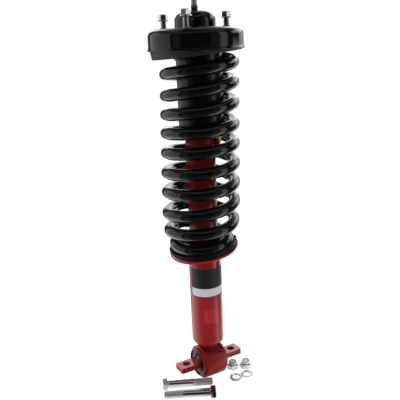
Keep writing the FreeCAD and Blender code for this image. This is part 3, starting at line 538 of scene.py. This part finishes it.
dish_paint = enamel("red_enamel_dish", (0.190, 0.0055, 0.0048), (0.155, 0.0040, 0.0036), 0.26)
dish_section = rounded([(26.0, 191.0, 0.4), (50.5, 191.0, 3.0), (53.5, 193.2, 2.0), (53.5, 196.4, 0.1),
                        (53.4, 196.5, 0.1), (52.7, 196.5, 0.1), (52.6, 196.4, 0.1), (52.4, 196.4, 0.2),
                        (50.5, 196.4, 0.8), (50.5, 194.6, 0.6), (49.0, 194.0, 0.5), (30.0, 194.0, 1.0),
                        (29.0, 195.0, 1.0), (29.0, 200.0, 0.6), (26.0, 200.0, 0.4)], 1.0, closed=True)
dish_grid = turned(dish_section, 160)
dish_angle = np.arctan2(dish_grid[..., 1], dish_grid[..., 0])
lowest_side, rim_rise = math.radians(149.5), 6.0
on_lip = (dish_section[:, 0] > 52.5) & (dish_section[:, 1] > 196.3)
dish_grid[..., 2] += on_lip[:, None] * rim_rise * np.maximum(np.cos(dish_angle - lowest_side), 0.0) ** 2
piece("spring_dish", [leaned(dish_grid)], "strut_body", ["lower_spring_seat"],
      dish_paint.material, along=True)
dish_bore = 26.0
dish_bead_height = seat_height - 0.4 + slope * dish_bore * np.cos(bead_angle)
piece("dish_weld", [bead(dish_bore, dish_bead_height, 1.5, 0.15, 40, 12)], "strut_body", [],
      dish_paint.material, along=True, crease=60.0)


# The lower pad: soft black rubber moulded to the last turn of the wire, with a raised lip
# round the side where the wire runs inside the dish's rim.

pad_rubber = Finish("pad_rubber", (0.0015, 0.0015, 0.0017), 0.50, specular=0.2)
pad_rubber.vary("Roughness", 0.45 + pad_rubber.noise(120.0, 3.0) * 0.2)
pad_rubber.relief(pad_rubber.noise(700.0), 0.00004)
coated("lower_spring_isolator", pad_rubber)


# The coil spring: one round bar of spring steel, wound right handed with a narrower last
# turn, shot peened and powder coated glossy black.

wire_radius, coil_radius, pigtail_radius = 9.05, 49.2, 40.7
coil_high, coil_pitch, coil_start = 476.9, 29.4, math.radians(-30.0)
top_turns, body_turns, last_turns, live_turns = 0.37, 9.0, 0.62, 9.1
full_by, slims_at, narrows_at, lands_at = 6.5, 7.4, 8.4, 8.6
right_rises = [0.0, 2.0, 2.0, -0.3, 0.4, -0.3, -1.1, -0.8, -2.4]
left_rises = [-0.5, -1.2, 1.2, 3.5, 3.6, 2.7, 2.0, -1.5, 1.0]
barrel, pigtail_lift, back_lift = 1.5, 6.0, 5.2
pad_floor, steep = 7.0, math.sqrt(1 + slope ** 2)


def eased(value):
    """0 up to 1 along 3 v^2 - 2 v^3."""
    value = np.clip(value, 0.0, 1.0)
    return value * value * (3 - 2 * value)


def coil_line(turns):
    """The wire's middle: a helix that narrows and settles on its pad at the lower end. Like a real
    hot wound spring it isn't even: each turn rises a little at either side, the middle is fuller."""
    angle = coil_start - 2 * np.pi * turns
    fuller = barrel * eased(turns / full_by) * (1 - eased((turns - slims_at) / 1.2))
    narrower = (coil_radius - pigtail_radius) * eased((turns - narrows_at) / (body_turns - narrows_at))
    radius = coil_radius + fuller - narrower
    leftward = 0.5 - 0.5 * np.cos(angle - coil_start)
    backward = 0.5 + 0.5 * np.sin(angle - coil_start)
    on_right = np.interp(turns, np.arange(9.0), right_rises)
    on_left = np.interp(turns, np.arange(9.0) + 0.5, left_rises)
    z = coil_high - coil_pitch * turns + on_right + (on_left - on_right) * leftward * eased(turns / 0.6)
    z += back_lift * eased((turns - 3.0) / 4.5) * backward ** 2
    shift = 4.0 - 8.2 * np.minimum((coil_high - z) / (coil_pitch * body_turns), 1.0)
    x = shift + radius * np.cos(angle)
    y = radius * np.sin(angle)
    rest = seat_height + (pad_floor + wire_radius + 0.05) * steep + slope * x
    rest = rest + pigtail_lift * leftward ** 2
    land = eased((turns - lands_at) / 0.5)
    return np.stack([x, y, z * (1 - land) + rest * land], -1)


def unit(way):
    """The same direction, one millimetre long."""
    return way / np.linalg.norm(way)


coil_paint = Finish("spring_powder_coat", (0.0013, 0.0013, 0.0017), 0.10, specular=0.6)
coil_paint.vary("Roughness", 0.06 + coil_paint.noise(60.0, 3.0) * 0.06)
coil_paint.relief(coil_paint.noise(420.0), 0.000012)
rings = np.linspace(-top_turns, body_turns + last_turns, 720)
middle_line = coil_line(rings)
cap_radii, cap_reach = np.array([0.0, 0.82, 0.94]), np.array([[1.01], [1.0], [0.6]])
line = np.vstack([middle_line[0] - unit(middle_line[1] - middle_line[0]) * cap_reach, middle_line,
                  middle_line[-1] + unit(middle_line[-1] - middle_line[-2]) * cap_reach[::-1]])
line_radii = wire_radius * np.concatenate([cap_radii, np.ones(len(rings)), cap_radii[::-1]])
coil = piece("coil", [tube_along(line, line_radii, 28)], None, ["coil_spring"],
             coil_paint.material, crease=50.0)


def stretched(made):
    """Bakes the coil's placement into its mesh and finds, for each of its points, the nearest point
    of the wire's middle line. Nothing is done with them."""
    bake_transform(made)
    places = np.zeros(len(made.data.vertices) * 3)
    made.data.vertices.foreach_get("co", places)
    nearest = [np.linalg.norm(some[:, None] - middle_line[None] * MM, axis=2).argmin(1)
               for some in np.array_split(places.reshape(-1, 3), 12)]


stretched(coil)


# The wedge: the part of the lower pad's rubber that rises under the end of the wire and
# carries it level where the dish slopes away. It is moulded in one with the pad.

wedge_start, wedge_half = 9.19, 3.6
wedge_turns = np.linspace(wedge_start, body_turns + last_turns, 60)
wedge_wire = coil_line(wedge_turns)
wedge_angle = coil_start - 2 * np.pi * wedge_turns
wedge_side = np.stack([np.cos(wedge_angle), np.sin(wedge_angle)], -1)[:, None]
wedge_corners = np.array([-wedge_half, wedge_half, wedge_half, -wedge_half])[None, :, None]
wedge_plan = wedge_wire[:, None, :2] + wedge_side * wedge_corners
wedge_low = seat_height + (pad_floor + 0.06) * steep + slope * wedge_plan[:, :2, 0]
wedge_high = np.repeat(wedge_wire[:, 2:] - wire_radius - 0.1, 2, axis=1)
wedge = np.dstack([wedge_plan, np.hstack([wedge_low, wedge_high])])
wedge_ends = wedge[[0, -1]].mean(1, keepdims=True).repeat(4, axis=1)
piece("pad_wedge", [np.vstack([wedge_ends[:1], wedge, wedge_ends[1:]])], "strut_body", [],
      pad_rubber.material)


# The piston rod's stem: a rolled thread above the mount, browned by its phosphate, and a
# narrow key above the thread to hold the rod while its nut is turned.

def threaded(radius, low, high, pitch, depth, segments=48, rows_per_pitch=6):
    """A thread's surface: the radius falls by depth between crests that climb one pitch a turn."""
    rows = int((high - low) / pitch * rows_per_pitch) + 1
    z = np.linspace(low, high, rows)[:, None]
    angle = np.linspace(0.0, 2 * np.pi, segments, endpoint=False)[None, :]
    wave = 2 * np.abs((z / pitch - angle / (2 * np.pi)) % 1.0 - 0.5)
    fade = np.clip(np.minimum(z - low, high - z) / (0.7 * pitch), 0.0, 1.0)
    r = radius - depth * wave * fade
    return np.stack([r * np.cos(angle), r * np.sin(angle), z + 0.0 * angle], -1)


def hexagonal(section, width, twist, segments=72):
    """Points of a hexagon's surface: the section's radius, but nowhere past the six flats."""
    grid = turned(section, segments)
    angle = np.linspace(0.0, 2 * np.pi, segments, endpoint=False)
    flats = width / 2 / np.cos((angle + np.pi / 6) % (np.pi / 3) - np.pi / 6)
    reach = np.hypot(grid[..., 0], grid[..., 1])
    squeeze = np.minimum(reach, flats) / np.maximum(reach, 1e-6)
    x, y = grid[..., 0] * squeeze, grid[..., 1] * squeeze
    return np.stack([x * math.cos(twist) - y * math.sin(twist),
                     x * math.sin(twist) + y * math.cos(twist), grid[..., 2]], -1)


stem_steel = Finish("stem_phosphate", (0.13, 0.105, 0.085), 0.42, metallic=0.75)
stem_x, stem_y, stem_z = stem_steel.split()
bright_above = 0.5535
# Painted shade: the stem turns dark in blotches below 553.5 mm, towards the cap it rises from.
stem_shade_painted = (stem_steel.noise(260.0, 3.0) + (stem_z - bright_above) * 160.0).ramp(1.0)
stem_steel.vary("Base Color", stem_steel.blend(stem_shade_painted, (0.018, 0.017, 0.016), (0.22, 0.205, 0.175)))
stem_parts = [turned(np.array([[0.0, 503.5], [4.9, 503.5], [5.0, 532.0]]), 48),
              threaded(5.0, 532.0, 554.6, 1.5, 0.75), turned(np.array([[4.6, 555.2]]), 48),
              hexagonal(np.array([[4.0, 556.0], [3.9, 567.0], [3.3, 568.0], [0.0, 568.0]]), 7.2, 0.0, 48)]
rod_chrome = Finish("rod_chrome", (0.62, 0.62, 0.63), 0.12, metallic=1.0)
rod_chrome.vary("Roughness", 0.08 + rod_chrome.noise(200.0) * 0.1)
rod_wall = rounded([(0.0, 290.0), (4.2, 290.0, 0.8), (5.0, 291.0, 0.5), (5.0, 318.0), (7.0, 318.0, 0.5),
                    (7.0, 503.0, 0.6), (4.9, 503.0), (0.0, 503.0)], 0.3)
piece("rod", [turned(rod_wall, 64)], "rod_and_mount", ["piston_rod"], rod_chrome.material)
piece("stem", [np.vstack(stem_parts)], "rod_and_mount", [], stem_steel.material,
      crease=50.0)


# The dust cover: a stiff blow-moulded tube with a rolled bead at its mouth, satin black.
# It hides the bump stop, which the coil's upper turns surround.

cover_axis = (4.0, 0.0)
cover_plastic = Finish("cover_plastic", (0.0025, 0.0025, 0.0032), 0.22)
cover_plastic.vary("Roughness", 0.16 + cover_plastic.noise(40.0, 3.0) * 0.12)
cover_plastic.relief(cover_plastic.noise(300.0), 0.00002)
cover_section = rounded([(31.3, 376.0, 0.4), (34.2, 376.0, 0.5), (34.7, 377.0, 0.4), (34.7, 378.4, 0.4),
                         (33.5, 379.6, 0.5), (33.5, 500.0, 0.6), (31.3, 500.0, 0.4)], 0.4, closed=True)
piece("dust_tube", [turned(cover_section, 128, cover_axis)], "rod_and_mount",
      ["dust_cover"], cover_plastic.material, along=True)


# The bump stop: cellular urethane moulded in mustard yellow, whose thin skirt hangs out of the
# cover and is cut on a slant, so that only its low side shows beside the tube.

urethane = Finish("yellow_urethane", (0.62, 0.40, 0.045), 0.60)
urethane_fleck = urethane.noise(500.0, 3.0)
urethane.vary("Base Color", urethane.blend(urethane_fleck, (0.46, 0.27, 0.030), (0.70, 0.48, 0.080)))
urethane.relief(urethane_fleck, 0.00008)
stop_head = rounded([(7.06, 503.0), (23.0, 503.0), (23.0, 500.0), (31.2, 500.0), (31.2, 475.0, 1.5),
                     (27.2, 472.0, 1.5), (31.2, 469.0, 1.5), (31.2, 457.0, 1.0), (29.5, 455.0)], 0.4)
stop_core = np.array([[27.3, 455.3], [7.06, 455.3]])
stop_angle = np.linspace(0.0, 2 * np.pi, 128, endpoint=False)
skirt_root, skirt_tip, skirt_flare, flare_height = 455.0, 341.0, 7.2, 27.0
cut_height, cut_slope, cut_side = 365.0, 0.98, math.radians(32.0)


def skirt_face(mouth_radius, share):
    """One face of the skirt: r widens by the flare above the tip, and the lower edge lies at
    z = cut height - cut slope r cos(a - cut side), where eight rounds settle r and z."""
    def radius_at(z):
        return mouth_radius + skirt_flare * np.clip((z - skirt_tip) / flare_height, 0.0, 1.0)

    slant = cut_slope * np.cos(stop_angle - cut_side)
    edge = np.full(stop_angle.shape, cut_height)
    for settle in range(8):
        edge = np.maximum(skirt_tip, cut_height - radius_at(edge) * slant)
    z = skirt_root + (edge[None, :] - skirt_root) * share[:, None]
    radius = radius_at(z)
    return np.stack([cover_axis[0] + radius * np.cos(stop_angle), radius * np.sin(stop_angle), z], -1)


stop_grid = np.vstack([turned(stop_head, 128, cover_axis), skirt_face(22.3, np.linspace(0.02, 1.0, 48)),
                       skirt_face(20.1, np.linspace(1.0, 0.02, 48)), turned(stop_core, 128, cover_axis)])
piece("bump_stop_skirted", [stop_grid], "rod_and_mount", ["bump_stop"],
      urethane.material, along=True)


# The upper seat: a thick rubber moulding under the cup, its lower face cut on a slant that
# the coil's first turn follows. Only its skirt shows.

seat_rubber = Finish("upper_seat_rubber", (0.0070, 0.0070, 0.0075), 0.42)
seat_rubber.vary("Roughness", 0.38 + seat_rubber.noise(80.0, 3.0) * 0.2)
seat_rubber.relief(seat_rubber.noise(500.0), 0.00004)
coated("upper_spring_isolator", seat_rubber)


# The upper mount: a pressed steel cup with a rolled lip and a cap drawn from one sheet,
# both electrocoated black, welded together over the bonded rubber.

mount_coat = Finish("mount_electrocoat", (0.0015, 0.0015, 0.0017), 0.14)
mount_coat.vary("Roughness", 0.06 + mount_coat.noise(50.0, 3.0) * 0.06)
mount_coat.relief(mount_coat.noise(380.0), 0.000012)


def bowed(start, middle, end, steps=12):
    """Points of a quadratic Bezier that passes through its middle point at half way."""
    start, middle, end = np.array(start), np.array(middle), np.array(end)
    share = np.linspace(0.0, 1.0, steps)[:, None]
    pull = 2 * middle - 0.5 * (start + end)
    return (1 - share) ** 2 * start + 2 * share * (1 - share) * pull + share ** 2 * end


cup_section = np.vstack([
    [[65.5, 495.2], [65.7, 495.0], [69.6, 495.0], [69.9, 495.3], [69.9, 496.3], [69.6, 497.0],
     [68.8, 498.9], [68.5, 499.6]],
    bowed((68.5, 515.2), (66.3, 520.4), (61.5, 523.4)), bowed((60.0, 524.0), (58.4, 524.7), (56.6, 525.0)),
    [[22.3, 525.0], [22.0, 524.7], [22.0, 522.3], [22.3, 522.0], [56.6, 522.0]],
    bowed((60.3, 520.4), (63.9, 518.0), (65.5, 514.0))])
piece("cup", [turned(cup_section, 192)], "rod_and_mount", ["mount_cup"],
      mount_coat.material, along=True)
cap_section = np.vstack([[[27.2, 525.3], [27.5, 525.0], [28.9, 525.0], [29.2, 525.3]],
                         bowed((29.2, 535.0), (24.34, 543.96), (13.0, 547.8)),
                         [[5.7, 547.8], [5.4, 547.5], [5.4, 546.1], [5.7, 545.8]],
                         bowed((13.0, 545.8), (22.74, 542.36), (27.2, 535.0))])
piece("cap", [turned(cap_section, 144)], "rod_and_mount", ["mount_cap"],
      mount_coat.material, along=True)
piece("cap_weld", [bead(29.5, 525.2, 0.9, 0.12, 45, 10)], "rod_and_mount", [],
      mount_coat.material, along=True, crease=60.0)


# The three studs: cold headed, pressed up through the cup with a ribbed collar, zinc plated,
# each with a thread that runs out under its nut.

def zinc(name, color, low, high):
    """Bright zinc plate: metal with faint cloudy streaks in its polish."""
    plate = Finish(name, color, (low + high) / 2, metallic=1.0)
    cloud = plate.noise(180.0, 4.0, 0.6)
    plate.vary("Roughness", low + cloud * (high - low))
    plate.vary("Base Color", plate.blend(cloud, [0.80 * share for share in color], color))
    plate.relief(plate.noise(800.0), 0.00002)
    return plate


stud_zinc = zinc("stud_zinc", (0.50, 0.50, 0.49), 0.22, 0.42)
stud_circle, stud_shift, stud_first = 53.2, -5.0, math.radians(-128.6)
stud_angles = stud_first + np.arange(3) * 2 * np.pi / 3
stud_places = np.stack([stud_shift + stud_circle * np.cos(stud_angles),
                        stud_circle * np.sin(stud_angles)], -1)
nut_heights = (539.9, 536.9, 535.4)
cup_top, collar_radius = 525.0, 5.5
collar_low = cup_top + 0.05
ribs = 1.0 + 0.18 / collar_radius * np.cos(24 * np.linspace(0.0, 2 * np.pi, 72, endpoint=False))
stud_grids = []
for place, nut_height in zip(stud_places, nut_heights):
    run_out = nut_height - 1.4
    foot = turned(np.array([[0.0, cup_top - 1.0], [4.4, cup_top - 1.0], [4.5, collar_low],
                            [5.3, collar_low + 0.1], [collar_radius, collar_low + 0.4],
                            [collar_radius, collar_low + 0.9], [4.6, collar_low + 1.5],
                            [4.0, collar_low + 1.9], [4.0, run_out]]), 72)
    foot[3:7, :, :2] *= ribs[None, :, None]
    shank = threaded(3.9, run_out, 544.8, 1.25, 0.55, 72)
    point = turned(np.array([[3.3, 545.5], [0.0, 545.6]]), 72)
    stud_grids.append(np.vstack([foot, shank, point]) + (*place, 0.0))
piece("studs", stud_grids, "rod_and_mount", ["mount_studs"], stud_zinc.material, crease=40.0)


# The flange nuts: hexagons with a wide skirt, cold formed and bright zinc plated, run on to
# the ends of the studs for shipping.

def shoulder(radius, height, run, rise, power):
    """The rounded corner of a hexagon: r = radius + run t, z = height + rise t^power."""
    t = np.linspace(0.0, 1.0, 8)
    return np.stack([radius + run * t, height + rise * t ** power], -1)


nut_zinc = zinc("nut_zinc", (0.86, 0.86, 0.87), 0.10, 0.24)
nut_rows = np.vstack([[[3.7, 0.4], [3.7, 0.3], [7.6, 0.3], [7.6, 7.4]],
                      shoulder(7.55, 7.6, -1.15, 1.6, 1.5),
                      [[5.0, 9.2], [4.3, 9.2], [3.7, 8.6], [3.7, 0.4]]])
nut_skirt = turned(rounded([(4.2, 0.05), (8.25, 0.0, 0.3), (8.25, 0.8, 0.3), (6.4, 2.3, 0.5),
                            (4.2, 2.6)], 0.3, closed=True), 72)
nut_skirt = np.concatenate([nut_skirt, nut_skirt[:1]])
hexagons, skirts = [], []
for place, nut_height, twist in zip(stud_places, nut_heights, (0.61, 0.58, 0.07)):
    hexagons.append(hexagonal(nut_rows, 13.0, twist) + (*place, nut_height))
    skirts.append(nut_skirt + (*place, nut_height))
piece("flange_nut_set", hexagons + skirts, "rod_and_mount", ["flange_nuts"],
      nut_zinc.material, crease=28.0)


# The loose fixings for the bar pin: two hexagon bolts, two all-metal lock nuts with a
# crimped round collar and two split spring washers, lying in front of the eye as shipped.

bolt_zinc = zinc("bolt_zinc", (0.86, 0.87, 0.87), 0.08, 0.20)
bolt_lines = (((-88.5, -1.5), (-13.2, -31.4)), ((-28.5, -64.9), (-96.3, -21.4)))
bolt_x, bolt_y, bolt_z = bolt_zinc.split()
thread_reach, rows_line = 0.0305, -0.056
rear_head_from, front_head_from, facet_edge = -0.0795, -0.0368, -0.0110
near_tips = [distance(bolt_x - x * MM, bolt_y - y * MM) < thread_reach for head, (x, y) in bolt_lines]
front_row = along_view(bolt_x, bolt_y) < rows_line
on_thread = near_tips[0] * (1.0 - front_row) + near_tips[1] * front_row
rear_head = (bolt_x < rear_head_from) * (1.0 - front_row)
front_head = front_row * (bolt_x > front_head_from)
bolt_zinc.vary("Roughness", 0.12 + on_thread * 0.20 + rear_head * 0.45 + front_head * 0.30)
thread_color = bolt_zinc.blend(front_row, (0.70, 0.71, 0.67), (0.72, 0.75, 0.76))
bolt_color = bolt_zinc.blend(on_thread, (0.86, 0.87, 0.87), thread_color)
# Painted highlight: the rear bolt's head gets a full white reflectance, brighter than its zinc.
bolt_color = bolt_zinc.blend(rear_head, bolt_color, (1.0, 1.0, 1.0))
# Painted reflection: the front bolt's head is black below its top facet and dark red above it, standing in
# for the body and the shade it mirrors.
head_reflection_painted = bolt_zinc.blend(bolt_z > facet_edge, (0.035, 0.035, 0.038), (0.26, 0.055, 0.055))
bolt_zinc.vary("Base Color", bolt_zinc.blend(front_head, bolt_color, head_reflection_painted))


def aimed(grid, start, way, roll):
    """Lays a piece that was made upright along a direction from its start."""
    way = unit(np.array(way))
    aside = unit(np.cross((0.0, 0.0, 1.0), way))
    first = aside * math.cos(roll) + np.cross(way, aside) * math.sin(roll)
    second = np.cross(way, first)
    return np.array(start) + grid[..., :1] * first + grid[..., 1:2] * second + grid[..., 2:] * way


floor_height = -27.0
head_height, head_corner, bolt_length = 7.5, 10.4, 73.0
head_rows = np.vstack([[[0.0, -head_height], [8.2, -head_height]],
                       shoulder(8.7, -head_height, 1.7, 1.0, 1.3),
                       [[head_corner, -0.3], [8.9, 0.0], [6.4, 0.0], [6.0, 0.3]]])
upright_bolt = np.vstack([hexagonal(head_rows, 18.0, math.radians(30.0)),
                          turned(np.array([[6.0, 0.4], [6.0, 41.4], [5.9, 42.2]]), 72),
                          threaded(5.9, 42.2, 71.6, 1.75, 0.85, 72),
                          turned(np.array([[5.3, 72.0], [4.4, bolt_length], [0.0, bolt_length]]), 72)])
corner_reach, tip_reach = 10.39, 5.75
drop = math.asin((corner_reach - tip_reach) / bolt_length)
bolt_grids = []
for head, tip in bolt_lines:
    run = unit(np.array(tip) - np.array(head))
    start = (*(np.array(head) + run * head_height), floor_height + head_corner)
    way = (*(run * math.cos(drop)), -math.sin(drop))
    bolt_grids.append(aimed(upright_bolt, start, way, math.radians(30.0)))
piece("bolts", bolt_grids, "bar", ["mounting_bolts"], bolt_zinc.material, crease=28.0)

lock_rows = np.vstack([[[5.6, 0.0], [8.9, 0.0], [10.4, 0.5]], shoulder(10.4, 6.6, -1.7, 1.4, 1.4),
                       [[7.5, 8.1], [7.3, 8.6], [7.3, 11.0], [6.7, 12.0], [6.0, 12.0], [5.6, 11.4],
                        [5.6, 0.0]]])
lock_grids = [hexagonal(lock_rows, 18.0, twist) + (*place, floor_height)
              for place, twist in (((40.7, -8.2), 0.35), ((60.4, -18.1), 0.1))]
piece("lock_nut_pair", lock_grids, "bar", ["lock_nuts"], nut_zinc.material, crease=28.0)

washer_zinc = zinc("washer_zinc", (0.93, 0.92, 0.91), 0.36, 0.50)
washer_section = rounded([(6.25, 0.0), (10.25, 0.0), (10.25, 2.6), (6.25, 2.6)], 0.35, closed=True)
washer_section = np.vstack([washer_section, washer_section[:1]])
washer_cut, washer_arc = math.radians(9.0), math.radians(342.0)
washer_radius, washer_height = washer_section[:, :1], washer_section[:, 1:]
washer_grids = []
for place, twist in (((27.5, -37.9), 1.6), ((47.3, -40.9), 1.8)):
    angle = twist + washer_cut + np.linspace(0.0, 1.0, 90)[None, :] * washer_arc
    ring = np.stack([place[0] + washer_radius * np.cos(angle), place[1] + washer_radius * np.sin(angle),
                     floor_height + washer_height + 0.0 * angle], -1)
    cut_faces = [np.stack([ring[:, end], np.broadcast_to(ring[:-1, end].mean(0), ring[:, end].shape)])
                 for end in (0, -1)]
    washer_grids += [ring, *cut_faces]
piece("split_washers", washer_grids, "bar", ["spring_washers"], washer_zinc.material,
      around=False, crease=40.0)


# The inner pieces: turned steel, cast alloy, sintered iron and seals, which the tube and the
# mount enclose. They keep their exact solids and get a finish each.

inner_steel = zinc("inner_steel", (0.42, 0.42, 0.42), 0.25, 0.45)
inner_alloy = zinc("inner_alloy", (0.62, 0.62, 0.61), 0.40, 0.60)
inner_bronze = zinc("inner_bronze", (0.52, 0.36, 0.17), 0.30, 0.50)
inner_band = Finish("inner_band", (0.72, 0.69, 0.62), 0.5)
inner_seal = Finish("inner_seal", (0.040, 0.024, 0.018), 0.5)
for moulded in (inner_band, inner_seal):
    moulded.vary("Roughness", 0.4 + moulded.noise(200.0) * 0.2)
inner = {
    inner_steel: ["end_disc", "rebound_shims", "compression_shims", "piston_nut", "rebound_clip",
                  "mount_sleeve", "lower_washer", "upper_washer", "piston"],
    inner_alloy: ["rod_guide", "floating_piston"],
    inner_bronze: ["guide_bush"],
    inner_band: ["piston_band"],
    inner_seal: ["rod_seal", "floating_piston_ring", "rebound_ring"],
    nut_zinc: ["rod_nut"],
    bush_rubber: ["mount_rubber"],
}
for finish, nodes in inner.items():
    for node in nodes:
        coated(node, finish)


bpy.context.scene.view_settings.view_transform = "Standard"
